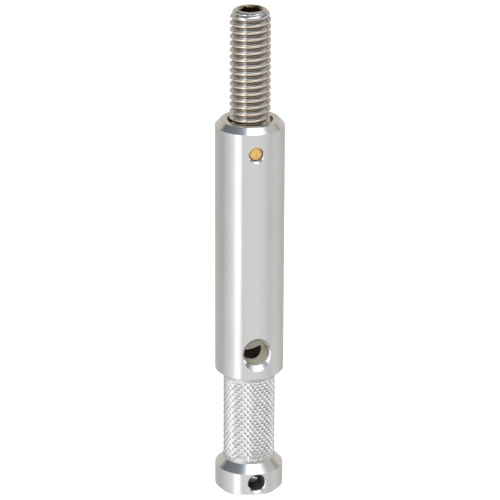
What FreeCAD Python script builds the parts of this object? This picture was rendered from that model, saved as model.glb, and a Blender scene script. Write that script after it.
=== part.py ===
import FreeCAD, Part
import os
import Sketcher
from FreeCAD import Placement, Rotation, Vector

# A 5/8 inch grip spigot with a 3/8-16 UNC stud. The spigot stands on its flange with its axis on Z:
# the flange rests on Z = 0, the cross holes run along Y and the stud points up.
# Lengths are in millimetres and angles in degrees.

document = FreeCAD.newDocument("spigot")
sheet = document.addObject("Spreadsheet::Sheet", "Sizes")

DIMENSIONS = [
    # the turned bar, from the flange up
    ("BarDiameter", 15.875, "5/8 inch bar: spigot and flange"),
    ("BottomBreak", 0.8, "chamfer under the flange"),
    ("FlangeEdge", 5.9, "height where the flange starts to narrow"),
    ("FlangeTop", 7.75, "height where the flange meets the neck"),
    ("NeckDiameter", 12.06, "neck between flange and spigot, over its knurl"),
    ("ShoulderHeight", 30.0, "underside of the spigot"),
    ("ShoulderBreak", 0.27, "edge break round that underside"),
    ("SpigotTop", 91.05, "face that the stud stands out of"),
    ("TopBevelHeight", 1.35, "bevel round the top, along the axis"),
    ("TopBevelWidth", 1.25, "bevel round the top, across the axis"),
    # what is drilled along the axis
    ("BoreDiameter", 5.56, "7/32 inch hole up the axis"),
    ("BoreMouth", 6.4, "countersink of that hole in the bottom face"),
    ("TapDrill", 7.94, "5/16 inch hole for the thread"),
    ("TapDepth", 26.6, "depth of that hole at full width"),
    ("TapMouth", 10.5, "countersink of the tapped hole"),
    ("DrillPoint", 59.0, "half of a drill's 118 degree point"),
    # what is drilled across
    ("CrossHoleDiameter", 6.0, "6 mm hole through the spigot"),
    ("CrossHoleHeight", 36.2, "height of its axis"),
    ("CrossHoleMouth", 8.25, "countersink, across the bar's front"),
    ("FlangeHoleDiameter", 3.97, "5/32 inch hole through the flange"),
    ("FlangeHoleHeight", 3.5, "height of its axis"),
    ("FlangeHoleMouth", 4.9, "countersink, across the bar's front"),
    ("LockHoleHeight", 84.9, "height of the lock pin's axis"),
    ("LockHoleMouth", 4.0, "countersink, across the bar's front"),
    ("LockHoleTurn", 3.2, "how far its axis is turned from the other holes'"),
    # the stud and its thread, 3/8-16 UNC
    ("ThreadPitch", 1.5875, "16 threads to the inch"),
    ("ThreadDiameter", 9.4, "over the stud's crests"),
    ("ThreadDepth", 0.87, "crest to root on the stud"),
    ("ThreadFlank", 30.0, "half of the thread's angle"),
    ("ThreadPlay", 0.1, "the tapped groove is this much deeper and wider"),
    ("StudLength", 50.8, "2 inch stud"),
    ("StudReach", 25.8, "how far it stands out of the spigot"),
    ("StudBevel", 1.35, "45 degree bevel on both ends"),
    ("KeyWidth", 4.7625, "3/16 inch hexagon socket, across its flats"),
    ("KeyDepth", 5.2, "depth of the socket's flats"),
    ("KeyMouth", 5.8, "countersink of the socket"),
    ("KeyTurn", -14.1, "how far two of its corners are turned from the X axis"),
    # the lock pin
    ("LockPinDiameter", 3.175, "1/8 inch pin"),
    ("LockPinRecess", 0.9, "how far each end lies below the bar's surface"),
    ("LockPinBreak", 0.18, "edge break on its ends"),
]


STUD_FOOT = "Sizes.SpigotTop + Sizes.StudReach - Sizes.StudLength"


def fill_sheet():
    for row, (alias, number, meaning) in enumerate(DIMENSIONS, start=1):
        sheet.set(f"A{row}", meaning)
        sheet.set(f"B{row}", str(number))
        sheet.setAlias(f"B{row}", alias)
    document.recompute()


def number(expression):
    """What an expression comes to with the sizes as they are."""
    value = sheet.evalExpression(expression)
    return float(getattr(value, "Value", value))


def new_body(label):
    body = document.addObject("PartDesign::Body", label)
    body.Label = label
    return body


def sketch_on(body, name, role, height="0", turn="0"):
    """A sketch on one of the body's own planes. The two upright planes have Z as their second axis,
    so height lifts the sketch's origin up the bar, and turn turns the sketch about the bar's axis."""
    sketch = body.newObject("Sketcher::SketchObject", name)
    plane = next(feature for feature in body.Origin.OriginFeatures if feature.Role == role)
    sketch.AttachmentSupport = [(plane, "")]
    sketch.MapMode = "FlatFace"
    upward = "z" if role == "XY_Plane" else "y"
    turning_axis = Vector(0, 0, 1) if upward == "z" else Vector(0, 1, 0)
    sketch.AttachmentOffset = Placement(Vector(), Rotation(turning_axis, number(turn)))
    sketch.setExpression(f".AttachmentOffset.Base.{upward}", f"({height}) * 1 mm")
    if turn != "0":
        sketch.setExpression(".AttachmentOffset.Rotation.Angle", f"({turn}) * 1 deg")
    return sketch


def hold(sketch, kind, corner, expression):
    """Holds one corner at a distance from the sketch's origin."""
    index = sketch.addConstraint(Sketcher.Constraint(kind, -1, 1, corner, 1, number(expression)))
    sketch.setExpression(f"Constraints[{index}]", expression)


def outline(sketch, corners):
    """A closed outline of straight lines. Each corner is a pair of expressions, across and along."""
    places = [Vector(number(across), number(along), 0) for across, along in corners]
    following = places[1:] + places[:1]
    for start, end in zip(places, following):
        sketch.addGeometry(Part.LineSegment(start, end), False)
    for line in range(len(corners)):
        next_line = (line + 1) % len(corners)
        sketch.addConstraint(Sketcher.Constraint("Coincident", line, 2, next_line, 1))
    horizontal_axis, vertical_axis = -1, -2
    for line, (across, along) in enumerate(corners):
        if across == "0":
            sketch.addConstraint(Sketcher.Constraint("PointOnObject", line, 1, vertical_axis))
        else:
            hold(sketch, "DistanceX", line, across)
        if along == "0":
            sketch.addConstraint(Sketcher.Constraint("PointOnObject", line, 1, horizontal_axis))
        else:
            hold(sketch, "DistanceY", line, along)
    document.recompute()


def turned(body, name, kind, sketch, axis, merge_faces=True):
    """Adds (Revolution) or takes away (Groove) the outline turned about one of its sketch's axes."""
    before = volume(body)
    feature = body.newObject(f"PartDesign::{kind}", name)
    feature.Refine = merge_faces
    feature.Profile = sketch
    feature.ReferenceAxis = (sketch, [axis])
    feature.Angle = 360
    document.recompute()
    expect_change(feature, before, more=kind == "Revolution")


def volume(body):
    return 0.0 if body.Shape.isNull() else body.Shape.Volume


def expect_change(feature, before, more):
    """A cut that misses the solid shows no error, so the volume has to have changed the right way."""
    grown = feature.Shape.Volume - before
    if (grown > 0) != more:
        raise RuntimeError(f"{feature.Label} changed the volume by {grown:.3f} mm3")


def cross_hole(body, name, height, diameter, mouth, turn="0"):
    """A hole right through along Y. Its 45 degree countersinks have the mouth's diameter where they
    meet the plane that touches the bar's front."""
    front = "Sizes.BarDiameter / 2"
    throat = f"{front} - ({mouth} - {diameter}) / 2"
    sketch = sketch_on(body, f"{name}Outline", "YZ_Plane", height, turn)
    outline(sketch, [
        (f"-({front} + 1)", "0"),
        (f"-({front} + 1)", f"{mouth} / 2 + 1"),
        (f"-({throat})", f"{diameter} / 2"),
        (throat, f"{diameter} / 2"),
        (f"{front} + 1", f"{mouth} / 2 + 1"),
        (f"{front} + 1", "0"),
    ])
    turned(body, name, "Groove", sketch, "H_Axis")


def cross_hole_from_both_sides(body, name, height, diameter, mouth):
    """The same hole drilled from the front and from the back. It is wider than the hole up the axis,
    so its two walls meet on the XZ plane, and they are kept as two faces."""
    for side, sign in (("Front", "-1"), ("Back", "1")):
        front = f"{sign} * (Sizes.BarDiameter / 2 + 1)"
        throat = f"{sign} * (Sizes.BarDiameter / 2 - ({mouth} - {diameter}) / 2)"
        sketch = sketch_on(body, f"{name}{side}Outline", "YZ_Plane", height)
        outline(sketch, [
            ("0", "0"),
            ("0", f"{diameter} / 2"),
            (throat, f"{diameter} / 2"),
            (front, f"{mouth} / 2 + 1"),
            (front, "0"),
        ])
        turned(body, f"{name}{side}", "Groove", sketch, "H_Axis", merge_faces=False)


def thread_groove(body, name, outer, inner, outer_half, inner_half, start, length):
    """A right-hand helical groove. Its section has the half widths outer_half at the radius outer and
    inner_half at the radius inner, and its middle passes the XZ plane's +X side at the height start."""
    sketch = sketch_on(body, f"{name}Outline", "XZ_Plane")
    outline(sketch, [
        (outer, f"{start} + {outer_half}"),
        (inner, f"{start} + {inner_half}"),
        (inner, f"{start} - ({inner_half})"),
        (outer, f"{start} - ({outer_half})"),
    ])
    before = volume(body)
    helix = body.newObject("PartDesign::SubtractiveHelix", name)
    helix.Profile = sketch
    helix.ReferenceAxis = (sketch, ["V_Axis"])
    helix.Mode = "pitch-height-angle"
    helix.Angle = 0
    helix.setExpression("Pitch", "Sizes.ThreadPitch * 1 mm")
    helix.setExpression("Height", f"({length}) * 1 mm")
    document.recompute()
    expect_change(helix, before, more=False)


def build_spigot_body():
    """The aluminium bar: turned outside, drilled and tapped along the axis, drilled across."""
    body = new_body("spigot_body")
    bar = "Sizes.BarDiameter / 2"
    neck = "Sizes.NeckDiameter / 2"
    top = "Sizes.SpigotTop"

    outside = sketch_on(body, "TurnedOutline", "XZ_Plane")
    outline(outside, [
        ("0", "0"),
        (f"{bar} - Sizes.BottomBreak", "0"),
        (bar, "Sizes.BottomBreak"),
        (bar, "Sizes.FlangeEdge"),
        (neck, "Sizes.FlangeTop"),
        (neck, "Sizes.ShoulderHeight"),
        (f"{bar} - Sizes.ShoulderBreak", "Sizes.ShoulderHeight"),
        (bar, "Sizes.ShoulderHeight + Sizes.ShoulderBreak"),
        (bar, f"{top} - Sizes.TopBevelHeight"),
        (f"{bar} - Sizes.TopBevelWidth", top),
        ("0", top),
    ])
    turned(body, "TurnedBar", "Revolution", outside, "V_Axis")

    bore = "Sizes.BoreDiameter / 2"
    bore_mouth = "Sizes.BoreMouth / 2"
    tap = "Sizes.TapDrill / 2"
    tap_mouth = "Sizes.TapMouth / 2"
    tap_floor = f"{top} - Sizes.TapDepth"
    point_height = f"({tap} - {bore}) / tan(Sizes.DrillPoint * 1 deg)"
    drilled = sketch_on(body, "AxialOutline", "XZ_Plane")
    outline(drilled, [
        ("0", "-1"),
        (f"{bore_mouth} + 1", "-1"),
        (bore, f"{bore_mouth} - {bore}"),
        (bore, f"{tap_floor} - {point_height}"),
        (tap, tap_floor),
        (tap, f"{top} - ({tap_mouth} - {tap})"),
        (f"{tap_mouth} + 1", f"{top} + 1"),
        ("0", f"{top} + 1"),
    ])
    turned(body, "AxialHole", "Groove", drilled, "V_Axis")

    # the groove is the space that the stud's ridge turns in, so its middle is half a pitch from
    # the middle of the stud's own groove
    radius = "Sizes.ThreadDiameter / 2"
    slope = "tan(Sizes.ThreadFlank * 1 deg)"
    crest_half = "Sizes.ThreadPitch / 16"
    inner = f"{tap} - 0.4"
    thread_groove(
        body, "TappedThread",
        outer=f"{radius} + Sizes.ThreadPlay",
        inner=inner,
        outer_half=crest_half,
        inner_half=f"{crest_half} + ({radius} + Sizes.ThreadPlay - ({inner})) * {slope}",
        start=f"{STUD_FOOT} - Sizes.ThreadPitch / 2",
        length="Sizes.StudLength - Sizes.StudReach + 2 * Sizes.ThreadPitch",
    )

    cross_hole(body, "FlangeHole", "Sizes.FlangeHoleHeight", "Sizes.FlangeHoleDiameter",
               "Sizes.FlangeHoleMouth")
    cross_hole(body, "LockHole", "Sizes.LockHoleHeight", "Sizes.LockPinDiameter",
               "Sizes.LockHoleMouth", "-Sizes.LockHoleTurn")
    cross_hole_from_both_sides(body, "CrossHole", "Sizes.CrossHoleHeight",
                               "Sizes.CrossHoleDiameter", "Sizes.CrossHoleMouth")
    return body


def build_threaded_stud():
    """The steel stud, modelled with its foot on Z = 0 and placed in the tapped hole."""
    body = new_body("threaded_stud")
    radius = "Sizes.ThreadDiameter / 2"
    length = "Sizes.StudLength"

    rod = sketch_on(body, "RodOutline", "XZ_Plane")
    outline(rod, [
        ("0", "0"),
        (f"{radius} - Sizes.StudBevel", "0"),
        (radius, "Sizes.StudBevel"),
        (radius, f"{length} - Sizes.StudBevel"),
        (f"{radius} - Sizes.StudBevel", length),
        ("0", length),
    ])
    turned(body, "Rod", "Revolution", rod, "V_Axis")
    cross_hole(body, "LockHole", f"Sizes.LockHoleHeight - ({STUD_FOOT})", "Sizes.LockPinDiameter",
               "Sizes.LockPinDiameter", "-Sizes.LockHoleTurn")

    slope = "tan(Sizes.ThreadFlank * 1 deg)"
    groove_half = "Sizes.ThreadPitch * 7 / 16"
    overshoot = "0.2"
    thread_groove(
        body, "Thread",
        outer=f"{radius} + {overshoot}",
        inner=f"{radius} - Sizes.ThreadDepth",
        outer_half=f"{groove_half} + {overshoot} * {slope}",
        inner_half=f"{groove_half} - Sizes.ThreadDepth * {slope}",
        start="-Sizes.ThreadPitch",
        length=f"{length} + 2 * Sizes.ThreadPitch",
    )

    socket = sketch_on(body, "SocketOutline", "XY_Plane", length, "Sizes.KeyTurn")
    corner = "Sizes.KeyWidth / sqrt(3)"
    outline(socket, [
        (corner, "0"),
        (f"{corner} / 2", "Sizes.KeyWidth / 2"),
        (f"-({corner}) / 2", "Sizes.KeyWidth / 2"),
        (f"-({corner})", "0"),
        (f"-({corner}) / 2", "-Sizes.KeyWidth / 2"),
        (f"{corner} / 2", "-Sizes.KeyWidth / 2"),
    ])
    before = volume(body)
    pocket = body.newObject("PartDesign::Pocket", "Socket")
    pocket.Profile = socket
    pocket.setExpression("Length", "Sizes.KeyDepth * 1 mm")
    document.recompute()
    expect_change(pocket, before, more=False)

    mouth = "Sizes.KeyMouth / 2"
    flats = "Sizes.KeyWidth / 2"
    floor = f"{length} - Sizes.KeyDepth"
    ends = sketch_on(body, "SocketEndsOutline", "XZ_Plane")
    outline(ends, [
        ("0", f"{floor} - ({flats}) / tan(Sizes.DrillPoint * 1 deg)"),
        (flats, floor),
        (flats, f"{length} - ({mouth} - {flats})"),
        (f"{mouth} + 1", f"{length} + 1"),
        ("0", f"{length} + 1"),
    ])
    turned(body, "SocketEnds", "Groove", ends, "V_Axis")

    body.setExpression(".Placement.Base.z", f"({STUD_FOOT}) * 1 mm")
    return body


def build_lock_pin():
    """The brass pin through spigot and stud, a little shorter than the bar is thick."""
    body = new_body("lock_pin")
    half = "Sizes.BarDiameter / 2 - Sizes.LockPinRecess"
    radius = "Sizes.LockPinDiameter / 2"
    edge = "Sizes.LockPinBreak"
    sketch = sketch_on(body, "PinOutline", "YZ_Plane", "Sizes.LockHoleHeight", "-Sizes.LockHoleTurn")
    outline(sketch, [
        (f"-({half})", "0"),
        (f"-({half})", f"{radius} - {edge}"),
        (f"-({half} - {edge})", radius),
        (f"{half} - {edge}", radius),
        (half, f"{radius} - {edge}"),
        (half, "0"),
    ])
    turned(body, "Pin", "Revolution", sketch, "H_Axis")
    return body


def check(bodies):
    failed = [thing.Name for thing in document.Objects if {"Invalid", "Error"} & set(thing.State)]
    if failed:
        raise RuntimeError(f"these objects did not recompute: {failed}")
    for body in bodies:
        if body.Shape.isNull() or not body.Shape.isValid() or len(body.Shape.Solids) != 1:
            raise RuntimeError(f"{body.Label} is not one valid solid")


fill_sheet()
bodies = [build_spigot_body(), build_threaded_stud(), build_lock_pin()]
document.recompute()
check(bodies)

os.makedirs("parts", exist_ok=True)
for body in bodies:
    body.Shape.exportStep(f"parts/{body.Label}.step")
    print(f"{body.Label}: {body.Shape.Volume:.1f} mm3, {len(body.Shape.Faces)} faces")
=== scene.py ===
import math

import bmesh
import bpy
from mathutils import Matrix, Vector


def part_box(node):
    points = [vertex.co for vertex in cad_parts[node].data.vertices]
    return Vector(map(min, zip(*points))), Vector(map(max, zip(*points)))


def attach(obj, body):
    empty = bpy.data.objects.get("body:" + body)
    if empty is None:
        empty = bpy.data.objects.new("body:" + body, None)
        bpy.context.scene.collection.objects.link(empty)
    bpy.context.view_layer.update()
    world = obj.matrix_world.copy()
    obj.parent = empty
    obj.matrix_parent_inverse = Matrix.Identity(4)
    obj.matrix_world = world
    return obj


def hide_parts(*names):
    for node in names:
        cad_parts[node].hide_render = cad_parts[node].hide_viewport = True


# A grip spigot: a turned aluminium bar with a knurled neck and a small flange, a threaded steel stud
# in its top, and a brass pin across both. Lengths are in millimetres until a mesh is made of them,
# and angles are in degrees except inside the formulas.

MM = 0.001

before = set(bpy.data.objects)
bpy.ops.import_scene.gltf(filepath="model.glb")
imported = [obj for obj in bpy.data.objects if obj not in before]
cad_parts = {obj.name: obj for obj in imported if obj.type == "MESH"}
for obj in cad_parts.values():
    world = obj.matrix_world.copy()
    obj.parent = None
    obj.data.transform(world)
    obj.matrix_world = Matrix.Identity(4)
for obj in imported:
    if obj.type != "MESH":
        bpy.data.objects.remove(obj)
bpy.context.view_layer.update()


def cad_extent(node, axis):
    """A CAD node's lowest and highest place along an axis, in millimetres."""
    low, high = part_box(node)
    return low[axis] / MM, high[axis] / MM


BAR_RADIUS = cad_extent("spigot_body", 0)[1]
SPIGOT_TOP = cad_extent("spigot_body", 2)[1]
STUD_RADIUS = cad_extent("threaded_stud", 0)[1]
STUD_FOOT, STUD_TOP = cad_extent("threaded_stud", 2)
LOCK_BOTTOM, LOCK_TOP = cad_extent("lock_pin", 2)
LOCK_HEIGHT = (LOCK_BOTTOM + LOCK_TOP) / 2
LOCK_RADIUS = (LOCK_TOP - LOCK_BOTTOM) / 2
LOCK_RECESS = 0.9

# the turned bar, as the CAD model has it
BOTTOM_BREAK = 0.8
FLANGE_EDGE = 5.9
FLANGE_TOP = 7.75
NECK_RADIUS = 6.03
SHOULDER = 30.0
SHOULDER_BREAK = 0.27
BEVEL_HEIGHT = 1.35
BEVEL_WIDTH = 1.25
BORE_RADIUS = 2.78
BORE_MOUTH = 3.2
TAP_RADIUS = 4.86
TAP_FLOOR = SPIGOT_TOP - 26.6
TAP_MOUTH = 5.25
TAP_LIP = 0.1
TAP_DRILL = 3.97
DRILL_POINT = 59.0
# the holes across it: height of the axis, radius, radius of the countersink and turn about the bar
CROSS_HOLE = {"height": 36.2, "radius": 3.0, "mouth": 4.12, "turn": 0.0}
FLANGE_HOLE = {"height": 3.5, "radius": 1.985, "mouth": 2.45, "turn": 0.0}
LOCK_HOLE = {"height": LOCK_HEIGHT, "radius": LOCK_RADIUS, "mouth": 2.0, "turn": -3.2}

# how far inside a surface the middle of one of its flat faces can be: in a hole, on the bar, on a face
# square to the axis, and on the neck
HOLE_SLACK = 0.01
BAR_SLACK = 0.03
LEVEL_SLACK = 0.05
NECK_SLACK = 0.1
# a face too small to need a true normal, and the sine of the twist that one turned on the axis can have
SMALL_FACE = 0.08
TURNED_SKEW = 0.012

# the diamond knurl on the neck: its two sets of grooves, their flat ridges and the fade at its ends
KNURL_BOTTOM = 8.4
KNURL_TOP = 28.4
KNURL_STARTS = 28
KNURL_PITCH = 1.55
KNURL_DEEP = 0.24
KNURL_SHALLOW = 0.2
KNURL_FLAT = 0.16
KNURL_FADE = 0.35
KNURL_STEPS = 10
BAR_SEGMENTS = KNURL_STARTS * KNURL_STEPS

# the threads
THREAD_PITCH = 1.5875
THREAD_DEPTH = 0.87
THREAD_PLAY = 0.1
ROOT_HALF = 0.13
ROOT_EASE = 0.10
CREST_EASE = 0.09
FLANK = 30.0
# distances from the middle of a groove at which the thread is sampled, in one pitch
THREAD_SAMPLES = (0.0, 0.10, 0.17, 0.27, 0.44, 0.58, 0.66, 0.73)
INNER_THREAD_FOOT = SPIGOT_TOP - 3.6

# the stud's ends
FOOT_BEVEL = 1.35
DOME_HEIGHT = 1.35
DOME_RADIUS = 3.2
DOME_EDGE = 4.43
DOME_FULLNESS = 1.6
DOME_WIDENING = 0.4
THREAD_TOP = STUD_TOP - 0.3
KEY_HALF = 4.7625 / 2
KEY_MOUTH = 2.86
KEY_MOUTH_ROUND = 0.12
KEY_MOUTH_SLOPE = 0.9
KEY_DEPTH = 5.2
POINT_ROOM = 2
KEY_TURN = -14.1
STUD_SEGMENTS = 120

# the camera
CAMERA_AZIMUTH = -14.1
CAMERA_ELEVATION = 21.46
CAMERA_DISTANCE = 682.0
CAMERA_LENS = 214.2
CAMERA_ROLL = 0.206
AIM_HEIGHT = 59.194
AIM_RIGHT = 0.094


# ---------------------------------------------------------------- mesh helpers

def new_object(name, mesh):
    thing = bpy.data.objects.new(name, mesh)
    bpy.context.scene.collection.objects.link(thing)
    return thing


def mesh_from(name, vertices, faces):
    mesh = bpy.data.meshes.new(name)
    mesh.from_pydata([tuple(MM * number for number in place) for place in vertices], [], faces)
    mesh.validate()
    return mesh


def on_ring(radius, angle, height):
    """A place at a radius and an angle in radians about the Z axis."""
    return radius * math.cos(angle), radius * math.sin(angle), height


def rounded(outline, steps=4):
    """Replaces each corner of an outline by an arc. A corner is (radius, height, rounding)."""
    points = []
    for index, (radius, height, rounding) in enumerate(outline):
        corner = Vector((radius, height))
        if rounding == 0:
            points.append((radius, height))
            continue
        before = Vector(outline[index - 1][:2]) - corner
        after = Vector(outline[(index + 1) % len(outline)][:2]) - corner
        before.normalize()
        after.normalize()
        half_angle = before.angle(after) / 2
        centre = corner + (before + after).normalized() * (rounding / math.sin(half_angle))
        start = corner + before * (rounding / math.tan(half_angle)) - centre
        end = corner + after * (rounding / math.tan(half_angle)) - centre
        for step in range(steps + 1):
            arm = start.lerp(end, step / steps).normalized() * rounding
            points.append(tuple(centre + arm))
    return points


def turned_ring(name, outline, segments):
    """A closed outline of (radius, height) turned about Z."""
    count = len(outline)
    vertices = []
    for segment in range(segments):
        angle = 2 * math.pi * segment / segments
        vertices += [on_ring(radius, angle, height) for radius, height in outline]
    faces = []
    for segment in range(segments):
        here = segment * count
        there = (segment + 1) % segments * count
        for point in range(count):
            other = (point + 1) % count
            faces.append((here + point, there + point, there + other, here + other))
    return new_object(name, mesh_from(name, vertices, faces))


def turned_plug(name, outline, segments):
    """An open outline of (radius, height), from the bottom up, turned about Z and closed at its ends."""
    vertices = []
    for radius, height in outline:
        for segment in range(segments):
            vertices.append(on_ring(radius, 2 * math.pi * segment / segments, height))
    faces = [tuple(reversed(range(segments)))]
    for ring in range(len(outline) - 1):
        low = ring * segments
        high = low + segments
        for segment in range(segments):
            other = (segment + 1) % segments
            faces.append((low + segment, low + other, high + other, high + segment))
    faces.append(tuple(range(len(vertices) - segments, len(vertices))))
    return new_object(name, mesh_from(name, vertices, faces))


def lay_across(thing, height, turn):
    """Lays a piece made about Z along Y, at a height, swung about Z by a turn."""
    tip = Matrix.Rotation(math.radians(90), 4, "X")
    swing = Matrix.Rotation(math.radians(turn), 4, "Z")
    lift = Matrix.Translation((0, 0, height * MM))
    thing.data.transform(lift @ swing @ tip)


def cut(thing, tool):
    """Cuts the tool out of the piece and removes the tool."""
    modifier = thing.modifiers.new("cut", "BOOLEAN")
    modifier.operation = "DIFFERENCE"
    modifier.solver = "EXACT"
    modifier.object = tool
    evaluated = thing.evaluated_get(bpy.context.evaluated_depsgraph_get())
    result = bpy.data.meshes.new_from_object(evaluated)
    thing.modifiers.clear()
    thing.data = result
    bpy.data.objects.remove(tool)


def radius_and_height(face):
    """Where the middle of a face is, in millimetres from the Z axis and above the foot."""
    centre = face.calc_center_median()
    return math.hypot(centre.x, centre.y) / MM, centre.z / MM


def delete_band(work, bottom, top, inside, outside):
    """Deletes the faces between two heights and two radii."""
    band = []
    for face in work.faces:
        radius, height = radius_and_height(face)
        if bottom < height < top and inside < radius < outside:
            band.append(face)
    bmesh.ops.delete(work, geom=band, context="FACES")


def weld(work):
    bmesh.ops.remove_doubles(work, verts=work.verts, dist=0.002 * MM)
    bmesh.ops.dissolve_degenerate(work, edges=work.edges, dist=0.0005 * MM)


def shade(thing, crease):
    """Smooth shading, with sharp edges where faces meet at more than the crease angle."""
    work = bmesh.new()
    work.from_mesh(thing.data)
    bmesh.ops.recalc_face_normals(work, faces=work.faces)
    for edge in work.edges:
        edge.smooth = edge.is_manifold and edge.calc_face_angle() < math.radians(crease)
    for face in work.faces:
        face.smooth = True
    work.to_mesh(thing.data)
    work.free()


def true_normals(mesh, rule_for):
    """Sets the normals of round walls from their true shape. rule_for takes a face and its corners and
    gives a function from a place to its normal, or None where the smoothed normals are right."""
    normals = [corner.vector.copy() for corner in mesh.corner_normals]
    for polygon in mesh.polygons:
        corners = [mesh.vertices[index].co for index in polygon.vertices]
        rule = rule_for(polygon, corners)
        if rule:
            for index, corner in zip(polygon.loop_indices, corners):
                normals[index] = rule(corner)
    mesh.normals_split_custom_set(normals)


# ---------------------------------------------------------------- threads

def thread_height(from_groove):
    """How far a thread stands above its root, at a distance from the middle of a groove."""
    climb = (abs(from_groove) - ROOT_HALF) / math.tan(math.radians(FLANK))
    low = (climb + math.hypot(climb, ROOT_EASE)) / 2
    over = low - THREAD_DEPTH
    return THREAD_DEPTH + (over - math.hypot(over, CREST_EASE)) / 2


def helical_grid(work, bottom, top, segments, start_angle, radius_at):
    """A wall whose rows climb with a right-hand thread and stop at the bottom and top heights.
    radius_at takes the distance from the middle of the groove and the height."""
    downward = [-distance for distance in reversed(THREAD_SAMPLES[1:])]
    samples = downward + list(THREAD_SAMPLES) + [THREAD_PITCH / 2]
    first_turn = math.floor((bottom - STUD_FOOT) / THREAD_PITCH) - 1
    last_turn = math.ceil((top - STUD_FOOT) / THREAD_PITCH) + 1
    rows = []
    for turn in range(first_turn, last_turn):
        for sample in samples:
            row = []
            for segment in range(segments):
                angle = start_angle + 2 * math.pi * segment / segments
                rise = THREAD_PITCH * (turn + angle / (2 * math.pi))
                height = min(max(STUD_FOOT + rise + sample, bottom), top)
                from_groove = height - STUD_FOOT - rise
                from_groove -= THREAD_PITCH * round(from_groove / THREAD_PITCH)
                radius = radius_at(from_groove, height)
                row.append(work.verts.new([MM * number for number in on_ring(radius, angle, height)]))
            rows.append(row)
    for index in range(len(rows) - 1):
        low, high = rows[index], rows[index + 1]
        for segment in range(segments - 1):
            work.faces.new((low[segment], low[segment + 1], high[segment + 1], high[segment]))
        if index + 1 + len(samples) < len(rows):
            next_low, next_high = rows[index + len(samples)], rows[index + 1 + len(samples)]
            work.faces.new((low[-1], next_low[0], next_high[0], high[-1]))


# ---------------------------------------------------------------- the turned bar

def bar_outline():
    """The bar's section: up the outside, across the top, down the tapped hole and the bore."""
    cone = (TAP_RADIUS - BORE_RADIUS) / math.tan(math.radians(DRILL_POINT))
    return rounded([
        (BORE_MOUTH, 0, 0.05),
        (BAR_RADIUS - BOTTOM_BREAK, 0, 0.08),
        (BAR_RADIUS, BOTTOM_BREAK, 0.08),
        (BAR_RADIUS, FLANGE_EDGE, 0.06),
        (NECK_RADIUS, FLANGE_TOP, 0.15),
        (NECK_RADIUS, KNURL_BOTTOM, 0),
        (NECK_RADIUS, KNURL_TOP, 0),
        (NECK_RADIUS, SHOULDER, 0.12),
        (BAR_RADIUS - SHOULDER_BREAK, SHOULDER, 0.04),
        (BAR_RADIUS, SHOULDER + SHOULDER_BREAK, 0.08),
        (BAR_RADIUS, CROSS_HOLE["height"] + 2 * CROSS_HOLE["radius"], 0),
        (BAR_RADIUS, LOCK_HEIGHT - 2 * LOCK_RADIUS, 0),
        (BAR_RADIUS, SPIGOT_TOP - BEVEL_HEIGHT, 0.06),
        (BAR_RADIUS - BEVEL_WIDTH, SPIGOT_TOP, 0.06),
        (TAP_MOUTH, SPIGOT_TOP, 0.05),
        (TAP_MOUTH - TAP_LIP, SPIGOT_TOP - TAP_LIP, 0),
        (TAP_RADIUS, SPIGOT_TOP - TAP_MOUTH + TAP_RADIUS, 0),
        (TAP_RADIUS, INNER_THREAD_FOOT, 0),
        (TAP_RADIUS, TAP_FLOOR, 0),
        (BORE_RADIUS, TAP_FLOOR - cone, 0),
        (BORE_RADIUS, BORE_MOUTH - BORE_RADIUS, 0),
    ])


def drill(bar, name, hole):
    """Drills a hole right through the bar along Y and countersinks both mouths."""
    reach = BAR_RADIUS + 1
    throat = BAR_RADIUS - (hole["mouth"] - hole["radius"])
    flare = hole["mouth"] + 1
    profile = [(flare, -reach), (hole["radius"], -throat), (hole["radius"], throat), (flare, reach)]
    tool = turned_plug(name, profile, 128)
    lay_across(tool, hole["height"], hole["turn"])
    cut(bar, tool)


def knurl_depth(around, along):
    """How deep the knurl is cut at a place given in groove spacings. The wheel that leaned one way
    cut deeper than the other."""
    def groove(phase):
        return max(1 - (1 - abs(2 * (phase % 1.0) - 1)) / (1 - KNURL_FLAT), 0.0)
    return max(KNURL_DEEP * groove(around + along), KNURL_SHALLOW * groove(around - along))


def knurl_grid(work):
    """The knurled band. Its grooves and ridges run along diagonals of the grid, so each square is
    split along the diagonal that they follow."""
    row_height = KNURL_PITCH / KNURL_STEPS
    count = math.ceil((KNURL_TOP - KNURL_BOTTOM) / row_height)
    rows = []
    for index in range(count + 1):
        height = min(KNURL_BOTTOM + index * row_height, KNURL_TOP)
        from_end = min(height - KNURL_BOTTOM, KNURL_TOP - height)
        fade = min(from_end / KNURL_FADE, 1.0)
        row = []
        for column in range(BAR_SEGMENTS):
            radius = NECK_RADIUS - fade * knurl_depth(column / KNURL_STEPS, index / KNURL_STEPS)
            angle = 2 * math.pi * column / BAR_SEGMENTS
            row.append(work.verts.new([MM * number for number in on_ring(radius, angle, height)]))
        rows.append(row)
    for index in range(count):
        for column in range(BAR_SEGMENTS):
            other = (column + 1) % BAR_SEGMENTS
            low, low_other = rows[index][column], rows[index][other]
            high, high_other = rows[index + 1][column], rows[index + 1][other]
            if (index + column + 1) % (KNURL_STEPS // 2) == 0:
                work.faces.new((low, low_other, high))
                work.faces.new((low_other, high_other, high))
            else:
                work.faces.new((low, low_other, high_other))
                work.faces.new((low, high_other, high))


def inner_thread(work):
    """The first turns of the tapped hole, which open into its countersink."""
    def radius_at(from_groove, height):
        if height <= INNER_THREAD_FOOT:
            return TAP_RADIUS
        countersink = TAP_MOUTH - (SPIGOT_TOP - height)
        root = STUD_RADIUS - THREAD_DEPTH + THREAD_PLAY
        return max(root + thread_height(from_groove), TAP_DRILL, countersink)

    helical_grid(work, INNER_THREAD_FOOT, SPIGOT_TOP - TAP_LIP, BAR_SEGMENTS, 0.0, radius_at)


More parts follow.
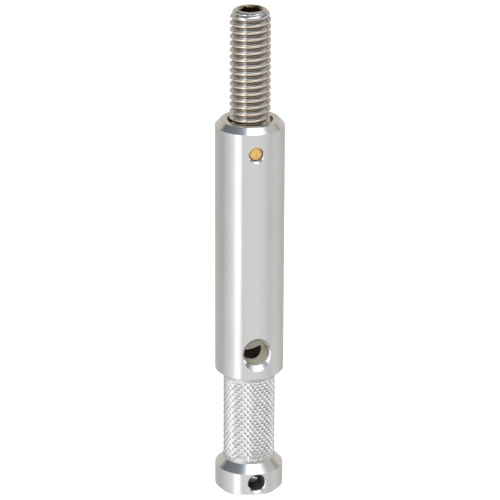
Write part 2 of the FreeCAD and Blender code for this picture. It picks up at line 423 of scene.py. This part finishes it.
def hole_with_wall(polygon):
    """The hole across the bar whose wall a face lies on, if any."""
    for hole in (CROSS_HOLE, FLANGE_HOLE, LOCK_HOLE):
        turn = math.radians(hole["turn"])
        x = (polygon.center.x * math.cos(turn) + polygon.center.y * math.sin(turn)) / MM
        z = polygon.center.z / MM - hole["height"]
        if math.hypot(x, z) < hole["radius"] + HOLE_SLACK:
            return hole
    return None


def finish_of(polygon):
    """The finish that the tool left on a face of the bar."""
    radius = math.hypot(polygon.center.x, polygon.center.y) / MM
    height = polygon.center.z / MM
    if radius > BORE_RADIUS + 0.5 and KNURL_BOTTOM < height < KNURL_TOP:
        return "knurled"
    hole = hole_with_wall(polygon)
    # painted shade: the deep bore takes the dark bored finish
    if not hole and radius < BORE_RADIUS + HOLE_SLACK and height < TAP_FLOOR:
        return "bored"
    if radius > BAR_RADIUS - BAR_SLACK:
        return "turned"
    # painted shade: the plain lands take the darker dull finish
    if KNURL_TOP < height < SHOULDER + LEVEL_SLACK:
        return "dull"
    if radius < NECK_RADIUS + NECK_SLACK and FLANGE_TOP - NECK_SLACK < height < KNURL_BOTTOM:
        return "dull"
    if height > SPIGOT_TOP - LEVEL_SLACK or height < LEVEL_SLACK:
        return "faced"
    # painted shade: the tapped hole, its countersink round the stud, and the flange's hole take the dark
    # bored finish
    if TAP_FLOOR < height and radius < TAP_MOUTH:
        return "bored"
    if hole is FLANGE_HOLE:
        return "bored"
    return "drilled" if hole else "bright"


def paint_bar(bar, finishes):
    for finish in finishes.values():
        bar.data.materials.append(finish)
    order = list(finishes)
    for polygon in bar.data.polygons:
        polygon.material_index = order.index(finish_of(polygon))


def bar_normal(polygon, corners):
    """A rule for the true normal on a face of the bar, or None where smoothing gives it. Faces turned
    about the bar's axis keep their tilt all the way round, and a hole's wall faces the hole's axis."""
    finish = finish_of(polygon)
    if finish == "knurled":
        return None
    hole = hole_with_wall(polygon)
    if hole and (finish == "drilled" or hole is FLANGE_HOLE):
        turn = math.radians(hole["turn"])
        axis = Vector((-math.sin(turn), math.cos(turn), 0))
        middle = Vector((0, 0, hole["height"] * MM))

        def toward_hole_axis(place):
            arm = place - middle
            return (axis * arm.dot(axis) - arm).normalized()
        return toward_hole_axis
    away = Vector((polygon.center.x, polygon.center.y, 0)).normalized()
    level = Vector((polygon.normal.x, polygon.normal.y, 0))
    radii = [math.hypot(corner.x, corner.y) for corner in corners]
    heights = [corner.z for corner in corners]
    small = max(radii) - min(radii) + max(heights) - min(heights) < SMALL_FACE * MM
    if small or level.cross(away).length > TURNED_SKEW:
        return None
    outward = level.dot(away)

    def turned_about_axis(place):
        return Vector((place.x, place.y, 0)).normalized() * outward + Vector((0, 0, polygon.normal.z))
    return turned_about_axis


def make_bar(finishes):
    bar = turned_ring("turned_bar", bar_outline(), BAR_SEGMENTS)
    drill(bar, "cross_tool", CROSS_HOLE)
    drill(bar, "flange_tool", FLANGE_HOLE)
    drill(bar, "lock_tool", LOCK_HOLE)
    work = bmesh.new()
    work.from_mesh(bar.data)
    delete_band(work, KNURL_BOTTOM, KNURL_TOP, BORE_RADIUS + 1, BAR_RADIUS)
    knurl_grid(work)
    delete_band(work, INNER_THREAD_FOOT, SPIGOT_TOP - TAP_LIP, 0, TAP_MOUTH - TAP_LIP)
    inner_thread(work)
    weld(work)
    work.to_mesh(bar.data)
    work.free()
    shade(bar, 24)
    true_normals(bar.data, bar_normal)
    paint_bar(bar, finishes)
    return bar


# ---------------------------------------------------------------- the stud

def hexagon_radius(angle, half_width):
    """A hexagon's radius at an angle from one of its corners."""
    sector = math.radians(60)
    return half_width / math.cos(angle % sector - sector / 2)


def dome_radius(rise):
    """The domed end's radius at a share of its height, from its edge to the flat top. Below the edge
    it widens slowly to the thread's crest."""
    if rise <= 0:
        return min(DOME_EDGE - DOME_WIDENING * rise, STUD_RADIUS)
    inward = (1 - rise ** DOME_FULLNESS) ** (1 / DOME_FULLNESS)
    return DOME_RADIUS + (DOME_EDGE - DOME_RADIUS) * inward


def end_limit(height):
    """The largest radius that the bevelled foot and the domed end leave the stud at a height."""
    foot = STUD_RADIUS - FOOT_BEVEL + (height - STUD_FOOT)
    return min(foot, dome_radius((height - STUD_TOP + DOME_HEIGHT) / DOME_HEIGHT))


def stud_radius(from_groove, height):
    return min(STUD_RADIUS - THREAD_DEPTH + thread_height(from_groove), end_limit(height))


def shaped_ring(work, radius_at, height_at):
    """A ring of points. Both rules take the angle from the hexagon's first corner."""
    points = []
    for segment in range(STUD_SEGMENTS):
        angle = 2 * math.pi * segment / STUD_SEGMENTS
        place = on_ring(radius_at(angle), math.radians(KEY_TURN) + angle, height_at(angle))
        points.append(work.verts.new([MM * number for number in place]))
    return points


def level_ring(work, radius, height):
    return shaped_ring(work, lambda angle: radius, lambda angle: height)


def join_rings(work, rings):
    for low, high in zip(rings, rings[1:]):
        for segment in range(STUD_SEGMENTS):
            other = (segment + 1) % STUD_SEGMENTS
            work.faces.new((low[segment], low[other], high[other], high[segment]))


def dome_rings(work):
    """From the end of the thread over the dome to its flat top."""
    rings = [level_ring(work, end_limit(THREAD_TOP), THREAD_TOP)]
    for rise in (0.85, 0.91, 0.96, 1.0):
        rings.append(level_ring(work, dome_radius(rise), STUD_TOP - DOME_HEIGHT + rise * DOME_HEIGHT))
    return rings


def socket_rings(work):
    """Round the socket's mouth, down its countersink and its hexagon, and over the drilled floor."""
    rings = []
    for turn in (0, 20, 40, 60):
        radius = KEY_MOUTH + KEY_MOUTH_ROUND * (1 - math.sin(math.radians(turn)))
        height = STUD_TOP - KEY_MOUTH_ROUND * (1 - math.cos(math.radians(turn)))
        rings.append(level_ring(work, radius, height))
    floor = STUD_TOP - KEY_DEPTH

    def wall(angle):
        return hexagon_radius(angle, KEY_HALF)

    for share in (0.5, 1.0):
        rings.append(shaped_ring(
            work,
            lambda angle: radius + share * (wall(angle) - radius),
            lambda angle: height - share * (radius - wall(angle)) * KEY_MOUTH_SLOPE))
    rings.append(shaped_ring(work, wall, lambda angle: floor))
    rings.append(level_ring(work, KEY_HALF, floor))
    point_depth = KEY_HALF / math.tan(math.radians(DRILL_POINT))
    rings.append(level_ring(work, 0.02, floor - point_depth))
    return rings


def paint_stud(mesh, finishes):
    """The thread's finish, and the socket's inside its mouth."""
    for finish in finishes.values():
        mesh.materials.append(finish)
    for polygon in mesh.polygons:
        radius = math.hypot(polygon.center.x, polygon.center.y) / MM
        in_socket = radius < KEY_MOUTH and polygon.center.z / MM > STUD_TOP - KEY_DEPTH - POINT_ROOM
        polygon.material_index = 1 if in_socket else 0


def make_stud(finishes):
    """A threaded rod with a domed end that holds a hexagon socket."""
    work = bmesh.new()
    helical_grid(work, STUD_FOOT, THREAD_TOP, STUD_SEGMENTS, math.radians(KEY_TURN), stud_radius)
    rings = dome_rings(work) + socket_rings(work)
    join_rings(work, rings)
    work.faces.new(rings[-1])
    foot = level_ring(work, end_limit(STUD_FOOT), STUD_FOOT)
    work.faces.new(list(reversed(foot)))
    weld(work)
    mesh = bpy.data.meshes.new("stud")
    work.to_mesh(mesh)
    work.free()
    stud = new_object("stud", mesh)
    shade(stud, 35)
    paint_stud(mesh, finishes)
    return stud


# ---------------------------------------------------------------- the lock pin

def make_lock_pin(finishes):
    """A sawn length of brass rod with its edges broken. The rim and the sides have their own finish."""
    half = BAR_RADIUS - LOCK_RECESS
    edge = 0.18
    rim = LOCK_RADIUS - 0.26
    outline = rounded([
        (0.02, -half, 0),
        (rim, -half, 0),
        (LOCK_RADIUS - edge, -half, 0.05),
        (LOCK_RADIUS, -half + edge, 0.05),
        (LOCK_RADIUS, half - edge, 0.05),
        (LOCK_RADIUS - edge, half, 0.05),
        (rim, half, 0),
        (0.02, half, 0),
    ])
    pin = turned_plug("pin", outline, 96)
    for finish in finishes.values():
        pin.data.materials.append(finish)
    # painted shadow: the rim and sides take the dark brown edge finish
    for polygon in pin.data.polygons:
        from_axis = math.hypot(polygon.center.x, polygon.center.y) / MM
        polygon.material_index = 1 if from_axis > rim else 0
    lay_across(pin, LOCK_HEIGHT, LOCK_HOLE["turn"])
    shade(pin, 40)
    return pin


# ---------------------------------------------------------------- nodes

# how much of each axis counts in a place on the object
EVERY_WAY = (1, 1, 1)
ACROSS = (1, 1, 0)
ALONG = (0, 0, 1)


def screen(red, green, blue):
    """A colour given as it looks on a screen, from 0 to 255, as linear light."""
    def linear(value):
        share = value / 255
        return share / 12.92 if share <= 0.04045 else ((share + 0.055) / 1.055) ** 2.4
    return linear(red), linear(green), linear(blue), 1.0


def add_node(tree, kind, inputs=None, **settings):
    """A shader node. Each input is a number, a colour or another node's output."""
    made = tree.nodes.new(kind)
    for name, value in settings.items():
        setattr(made, name, value)
    for name, value in (inputs or {}).items():
        if isinstance(value, bpy.types.NodeSocket):
            tree.links.new(value, made.inputs[name])
        else:
            made.inputs[name].default_value = value
    return made


def calculate(tree, operation, first, second=0.0):
    return add_node(tree, "ShaderNodeMath", {0: first, 1: second}, operation=operation).outputs[0]


def smooth_step(tree, value, start, end):
    """0 below start and 1 above end, with a soft change between."""
    inputs = {"Value": value, "From Min": start, "From Max": end}
    made = add_node(tree, "ShaderNodeMapRange", inputs, interpolation_type="SMOOTHSTEP")
    return made.outputs["Result"]


def mix_colours(tree, share, first, second):
    made = add_node(tree, "ShaderNodeMix", data_type="RGBA")
    for name, value in ((0, share), (6, first), (7, second)):
        if isinstance(value, bpy.types.NodeSocket):
            tree.links.new(value, made.inputs[name])
        else:
            made.inputs[name].default_value = value
    return made.outputs[2]


def new_material(name, colour, **sockets):
    """A material with one Principled shader, and that shader's node tree to add detail to."""
    material = bpy.data.materials.new(name)
    material.use_nodes = True
    tree = material.node_tree
    shader = tree.nodes["Principled BSDF"]
    shader.inputs["Base Color"].default_value = screen(*colour)
    for socket, value in sockets.items():
        shader.inputs[socket.replace("_", " ")].default_value = value
    return material, tree, shader


def object_place(tree, stretch):
    """The place on the object, with each axis stretched by a factor."""
    place = add_node(tree, "ShaderNodeTexCoord").outputs["Object"]
    return add_node(tree, "ShaderNodeMapping", {"Vector": place, "Scale": stretch}).outputs[0]


def length(tree, arrow):
    """An arrow's length. With object_place and ACROSS it is the distance from the object's axis, and
    with ALONG the height above the flange's bottom face, both in metres."""
    return add_node(tree, "ShaderNodeVectorMath", {0: arrow}, operation="LENGTH").outputs["Value"]


def noise(tree, stretch, scale, detail=2.0):
    """Noise with this many features per metre, finer along the stretched axes."""
    inputs = {"Vector": object_place(tree, stretch), "Scale": scale, "Detail": detail}
    return add_node(tree, "ShaderNodeTexNoise", inputs).outputs[0]


def spread(tree, value, low, high):
    """Turns noise, which stays near its middle, into a value between low and high."""
    inputs = {"Value": value, "From Min": 0.3, "From Max": 0.7, "To Min": low, "To Max": high}
    return add_node(tree, "ShaderNodeMapRange", inputs).outputs["Result"]


def roughen(tree, shader, height, distance):
    """Bumps the surface by a height map of this depth in metres."""
    inputs = {"Height": height, "Strength": 1.0, "Distance": distance}
    tree.links.new(add_node(tree, "ShaderNodeBump", inputs).outputs[0], shader.inputs["Normal"])


def vary(tree, shader, value, roughness, first, second):
    """Drives roughness and colour by the same noise."""
    tree.links.new(spread(tree, value, *roughness), shader.inputs["Roughness"])
    colour = mix_colours(tree, spread(tree, value, 0.0, 1.0), screen(*first), screen(*second))
    tree.links.new(colour, shader.inputs["Base Color"])


def around_axis(tree, shader):
    """Lines the shader's grain up with the turning of a lathe."""
    tangent = add_node(tree, "ShaderNodeTangent", direction_type="RADIAL", axis="Z")
    tree.links.new(tangent.outputs[0], shader.inputs["Tangent"])


# ---------------------------------------------------------------- finishes

def turned_aluminium():
    """Satin, with fine rings left by the tool and a faint mottle."""
    material, tree, shader = new_material(
        "turned_aluminium", (240, 240, 240), Metallic=1.0, Anisotropic=1.0, Anisotropic_Rotation=0.25)
    around_axis(tree, shader)
    rings = noise(tree, (4, 4, 1000), 14.0, 3.0)
    roughen(tree, shader, rings, 0.000001)
    vary(tree, shader, noise(tree, (1, 1, 0.3), 160.0), (0.37, 0.43), (243, 244, 245), (247, 247, 246))
    return material


def bright_aluminium():
    """Cut by a sharp tool, nearly a mirror."""
    material, tree, shader = new_material(
        "bright_aluminium", (245, 245, 246), Metallic=1.0, Anisotropic=0.4, Anisotropic_Rotation=0.25)
    around_axis(tree, shader)
    roughen(tree, shader, noise(tree, (4, 4, 1000), 9.0), 0.0000015)
    vary(tree, shader, noise(tree, EVERY_WAY, 300.0), (0.10, 0.15), (242, 243, 245), (247, 247, 248))
    return material


def faced_aluminium():
    """The end faces, covered in fine rings about the axis."""
    material, tree, shader = new_material("faced_aluminium", (238, 237, 235), Metallic=1.0)
    inputs = {"W": length(tree, object_place(tree, ACROSS)), "Scale": 9000.0}
    rings = add_node(tree, "ShaderNodeTexNoise", inputs, noise_dimensions="1D").outputs[0]
    roughen(tree, shader, rings, 0.000004)
    vary(tree, shader, noise(tree, EVERY_WAY, 400.0), (0.28, 0.36), (236, 234, 230), (243, 242, 240))
    return material


def dull_aluminium():
    """The plain lands above and below the knurl: rougher than the rest, and painted darker as shade,
    like the shade under the shoulder.
    """
    material, tree, shader = new_material("dull_aluminium", (222, 222, 220), Metallic=1.0)
    roughen(tree, shader, noise(tree, (4, 4, 1000), 12.0, 3.0), 0.000003)
    vary(tree, shader, noise(tree, EVERY_WAY, 400.0), (0.46, 0.58), (212, 212, 210), (226, 226, 224))
    return material


def drilled_aluminium():
    """The walls of the holes: scored by the drill and a little dull."""
    material, tree, shader = new_material("drilled_aluminium", (228, 224, 216), Metallic=0.5)
    roughen(tree, shader, noise(tree, (300, 2000, 300), 3.0, 4.0), 0.000005)
    vary(tree, shader, noise(tree, EVERY_WAY, 500.0), (0.26, 0.38), (222, 219, 208), (236, 233, 226))
    return material


def bored_aluminium():
    """The deep bore, the tapped hole and the flange's hole, painted dark as the shade inside them."""
    material, tree, shader = new_material("bored_aluminium", (120, 118, 110), Metallic=0.6)
    roughen(tree, shader, noise(tree, (4, 4, 1000), 5.0, 4.0), 0.00001)
    vary(tree, shader, noise(tree, EVERY_WAY, 500.0), (0.38, 0.55), (96, 94, 88), (128, 125, 116))
    return material


def knurled_aluminium():
    """Rolled diamonds, with a fine bump and a mottle of colour and roughness."""
    material, tree, shader = new_material("knurled_aluminium", (243, 243, 242), Metallic=1.0)
    roughen(tree, shader, noise(tree, EVERY_WAY, 6000.0, 2.0), 0.000002)
    vary(tree, shader, noise(tree, EVERY_WAY, 700.0), (0.24, 0.34), (214, 214, 212), (236, 236, 235))
    return material


def polished_steel():
    """Rolled stainless thread, with light and shade painted into its colour: a cool tint on the flanks
    as a painted reflection, warm bright crests as a painted highlight, and brown roots as painted shade.
    """
    material, tree, shader = new_material("polished_steel", (220, 214, 206), Metallic=1.0)
    roughen(tree, shader, noise(tree, (30, 30, 120), 60.0, 3.0), 0.000002)
    speckle = noise(tree, (1, 1, 1.6), 380.0, 3.0)
    tree.links.new(spread(tree, speckle, 0.05, 0.11), shader.inputs["Roughness"])
    radius = length(tree, object_place(tree, ACROSS))
    height = length(tree, object_place(tree, ALONG))
    dome_foot = STUD_TOP - DOME_HEIGHT
    on_dome = smooth_step(tree, height, (dome_foot - 0.6) * MM, dome_foot * MM)
    # painted shade: brown in the thread's roots, below this radius, where the flanks shade them; the
    # dome is left clear of it
    above_root = smooth_step(tree, radius, 3.8 * MM, 4.4 * MM)
    # painted highlight: near the crest the colour turns warm and bright for the light the crests catch
    near_crest = smooth_step(tree, radius, 4.3 * MM, 4.7 * MM)
    clear_of_root_shade = calculate(tree, "MAXIMUM", above_root, on_dome)
    root, crest = screen(158, 146, 130), screen(236, 226, 209)
    # painted reflection: a cool tint on the flanks for the cool light they reflect, varied at random by
    # the speckle
    flank = mix_colours(tree, spread(tree, speckle, 0, 1), screen(214, 214, 214), screen(218, 222, 228))
    colour = mix_colours(tree, near_crest, mix_colours(tree, clear_of_root_shade, root, flank), crest)
    tree.links.new(colour, shader.inputs["Base Color"])
    return material


def socket_steel():
    """The broached socket, darker and duller than the thread."""
    material, tree, shader = new_material("socket_steel", (180, 156, 120), Metallic=1.0)
    roughen(tree, shader, noise(tree, (900, 900, 30), 4.0, 3.0), 0.00001)
    vary(tree, shader, noise(tree, EVERY_WAY, 500.0), (0.14, 0.26), (150, 124, 92), (208, 180, 138))
    return material


def sawn_brass():
    """The pin, with the faint arcs of the saw on its ends."""
    material, tree, shader = new_material("sawn_brass", (240, 198, 118), Metallic=0.5)
    roughen(tree, shader, noise(tree, (900, 60, 60), 16.0, 3.0), 0.000008)
    vary(tree, shader, noise(tree, (6, 1, 1), 700.0), (0.4, 0.55), (232, 186, 100), (250, 214, 142))
    return material


def rim_shadow_brass():
    """The pin's edges and sides, painted dark brown: the painted shadow that the rim of its recess casts
    on its edge.
    """
    material, tree, shader = new_material("rim_shadow_brass", (120, 84, 48), Metallic=0.6)
    vary(tree, shader, noise(tree, EVERY_WAY, 900.0), (0.4, 0.55), (98, 66, 36), (140, 100, 58))
    return material


# ---------------------------------------------------------------- studio

def camera_directions():
    """Level directions from the object: towards the camera, and to the camera's right."""
    azimuth = math.radians(CAMERA_AZIMUTH)
    toward = Vector((math.sin(azimuth), -math.cos(azimuth), 0))
    right = Vector((math.cos(azimuth), math.sin(azimuth), 0))
    return toward, right


def place_camera():
    """A long lens that looks down on the object."""
    toward, right = camera_directions()
    elevation = math.radians(CAMERA_ELEVATION)
    arm = toward * math.cos(elevation) + Vector((0, 0, math.sin(elevation)))
    aim = Vector((0, 0, AIM_HEIGHT)) + right * AIM_RIGHT
    data = bpy.data.cameras.new("camera")
    data.lens = CAMERA_LENS
    data.clip_start = 0.01
    camera = new_object("camera", data)
    turn = (-arm).to_track_quat("-Z", "Y").to_matrix().to_4x4()
    roll = Matrix.Rotation(math.radians(CAMERA_ROLL), 4, "Z")
    camera.matrix_world = Matrix.Translation((aim + arm * CAMERA_DISTANCE) * MM) @ turn @ roll
    bpy.context.scene.camera = camera


STUDIO_STRENGTH = 1.1
FLOOR_GLOW = 0.8

# What stands around the object, seen from it: azimuth 0 is towards the camera and grows to the right.
# Colours are as they look on a screen. TABLE is the lowest ring, and RINGS says where the others start.
TABLE = (
    (-180, (172, 166, 148)),
    (-126, (174, 169, 154)),
    (-100, (240, 241, 240)),
    (-75, (214, 218, 222)),
    (-58, (222, 227, 232)),
    (-44, (246, 248, 250)),
    (-27, (240, 242, 244)),
    (-10, (222, 229, 241)),
    (55, (216, 225, 241)),
    (75, (228, 230, 232)),
    (104, (238, 238, 236)),
    (126, (198, 195, 184)),
    (180, (172, 166, 148)),
)
LEVEL = (
    (-180, (193, 190, 184)),
    (-140, (188, 186, 180)),
    (-112, (200, 199, 197)),
    (-100, (180, 179, 177)),
    (-80, (176, 176, 175)),
    (-68, (216, 217, 218)),
    (-60, (246, 247, 247)),
    (-38, (250, 250, 248)),
    (-28, (190, 186, 178)),
    (-14, (162, 157, 151)),
    (-4, (142, 139, 135)),
    (46, (142, 139, 135)),
    (68, (180, 178, 175)),
    (92, (214, 213, 211)),
    (112, (216, 215, 213)),
    (132, (188, 184, 177)),
    (160, (195, 192, 186)),
    (180, (193, 190, 184)),
)
HORIZON = (
    (-180, (192, 186, 176)),
    (-128, (186, 180, 171)),
    (-117, (134, 132, 128)),
    (-93, (130, 129, 126)),
    (-84, (250, 250, 250)),
    (-40, (255, 255, 253)),
    (-29, (236, 236, 234)),
    (-18, (250, 249, 247)),
    (30, (253, 251, 246)),
    (46, (226, 223, 217)),
    (64, (172, 169, 163)),
    (78, (122, 119, 114)),
    (110, (118, 115, 110)),
    (122, (150, 146, 140)),
    (134, (190, 186, 177)),
    (180, (192, 186, 176)),
)
CEILING = (
    (-180, (190, 182, 171)),
    (-128, (160, 155, 147)),
    (-116, (98, 100, 102)),
    (-95, (108, 112, 116)),
    (-77, (112, 117, 123)),
    (-56, (122, 128, 135)),
    (-38, (148, 154, 161)),
    (-24, (196, 201, 206)),
    (-11, (250, 250, 248)),
    (58, (255, 255, 255)),
    (72, (238, 239, 241)),
    (84, (178, 179, 181)),
    (104, (178, 178, 178)),
    (124, (186, 181, 172)),
    (180, (190, 182, 171)),
)
# Each of these covers what is below it: the elevations where it starts and is complete, and its colours.
RINGS = (
    (-34, -27, LEVEL),
    (10, 19, HORIZON),
    (28, 36, CEILING),
)
# What hangs or lies in front of that: azimuths, elevations, softness, colour and strength. Later
# panels cover earlier ones.
PANELS = (
    # lit paper below: all round, in front and to the right, and on the left
    (-190, 190, -100, -52, 12, (236, 238, 243), 1.2),
    (-28, 128, -100, -38, 8, (228, 232, 239), 1.45),
    (-130, -88, -100, -38, 8, (235, 236, 238), 1.55),
    # softboxes: upright at the front left, and high in front
    (-50, -28, -40, 17, 7, (252, 252, 252), 1.8),
    (-20, 60, 21, 50, 8, (255, 252, 246), 1.3),
    # dim flags behind, on the left and on the right
    (-160, -126, 34, 47, 7, (120, 110, 99), 1.0),
    (126, 160, 34, 47, 7, (141, 133, 122), 1.0),
    # the dim top, a dark flag at its edge and a softbox under that
    (-190, 190, 79, 100, 4, (140, 124, 104), 1.0),
    (-60, 85, 71, 80, 3, (40, 42, 48), 1.0),
    (-13, 64, 50, 71, 5, (255, 255, 255), 1.5),
)


def ring_of_colours(tree, position, stops):
    """Colours by azimuth all round. The position runs from 0 to 1, as azimuth does from -180 to 180."""
    ramp = add_node(tree, "ShaderNodeValToRGB", {0: position})
    elements = ramp.color_ramp.elements
    for index, (azimuth, colour) in enumerate(stops):
        stop = elements[index] if index < 2 else elements.new(1.0)
        stop.position = azimuth / 360 + 0.5
        stop.color = screen(*colour)
    return ramp.outputs["Color"]


def studio_world():
    """The light that surrounds the object, as soft panels between plain walls."""
    world = bpy.data.worlds.new("studio")
    world.use_nodes = True
    tree = world.node_tree
    tree.nodes.clear()
    toward, right = camera_directions()
    direction = add_node(tree, "ShaderNodeTexCoord").outputs["Generated"]

    def along(axis):
        made = add_node(tree, "ShaderNodeVectorMath", {0: direction, 1: axis}, operation="DOT_PRODUCT")
        return made.outputs["Value"]

    azimuth = calculate(tree, "DEGREES", calculate(tree, "ARCTAN2", along(right), along(toward)))
    elevation = calculate(tree, "DEGREES", calculate(tree, "ARCSINE", along((0, 0, 1))))
    position = calculate(tree, "ADD", calculate(tree, "DIVIDE", azimuth, 360.0), 0.5)
    colour = ring_of_colours(tree, position, TABLE)
    for start, full, stops in RINGS:
        share = smooth_step(tree, elevation, start, full)
        colour = mix_colours(tree, share, colour, ring_of_colours(tree, position, stops))
    for from_azimuth, to_azimuth, low, high, softness, panel, strength in PANELS:
        half = softness / 2
        edges = (
            smooth_step(tree, azimuth, from_azimuth - half, from_azimuth + half),
            smooth_step(tree, azimuth, to_azimuth + half, to_azimuth - half),
            smooth_step(tree, elevation, low - half, low + half),
            smooth_step(tree, elevation, high + half, high - half),
        )
        window = edges[0]
        for edge in edges[1:]:
            window = calculate(tree, "MULTIPLY", window, edge)
        glow = [strength * channel for channel in screen(*panel)]
        colour = mix_colours(tree, window, colour, glow)
    backdrop = mix_colours(
        tree, add_node(tree, "ShaderNodeLightPath").outputs["Is Camera Ray"], colour, (1, 1, 1, 1))
    inputs = {"Color": backdrop, "Strength": STUDIO_STRENGTH}
    background = add_node(tree, "ShaderNodeBackground", inputs)
    output = add_node(tree, "ShaderNodeOutputWorld")
    tree.links.new(background.outputs[0], output.inputs["Surface"])
    bpy.context.scene.world = world


def lay_floor():
    """A pale floor that glows softly, except under the object's foot, where the glow is cut away as a
    painted shadow seen through the bore.
    """
    size = 3000
    corners = [(-size, -size, 0), (size, -size, 0), (size, size, 0), (-size, size, 0)]
    floor = new_object("floor", mesh_from("floor", corners, [(0, 1, 2, 3)]))
    material, tree, shader = new_material("pale_paper", (245, 245, 245), Roughness=0.9)
    shader.inputs["Emission Color"].default_value = (1, 1, 1, 1)
    from_axis = length(tree, object_place(tree, EVERY_WAY))
    # painted shadow: no glow within a few millimetres of the axis
    outside_painted_foot_shadow = smooth_step(tree, from_axis, 4 * MM, 7 * MM)
    glow = calculate(tree, "MULTIPLY", outside_painted_foot_shadow, FLOOR_GLOW)
    tree.links.new(glow, shader.inputs["Emission Strength"])
    floor.data.materials.append(material)
    floor.visible_glossy = False


# ---------------------------------------------------------------- the scene

bar = make_bar({
    "turned": turned_aluminium(),
    "bright": bright_aluminium(),
    "faced": faced_aluminium(),
    "dull": dull_aluminium(),
    "drilled": drilled_aluminium(),
    "bored": bored_aluminium(),
    "knurled": knurled_aluminium(),
})
stud = make_stud({"thread": polished_steel(), "socket": socket_steel()})
pin = make_lock_pin({"sawn": sawn_brass(), "edge": rim_shadow_brass()})

for piece, node, slot in (
    (bar, "spigot_body", "aluminium"),
    (stud, "threaded_stud", "steel"),
    (pin, "lock_pin", "brass"),
):
    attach(piece, "root")
    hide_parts(node)

studio_world()
lay_floor()
place_camera()
bpy.context.scene.view_settings.view_transform = "Standard"
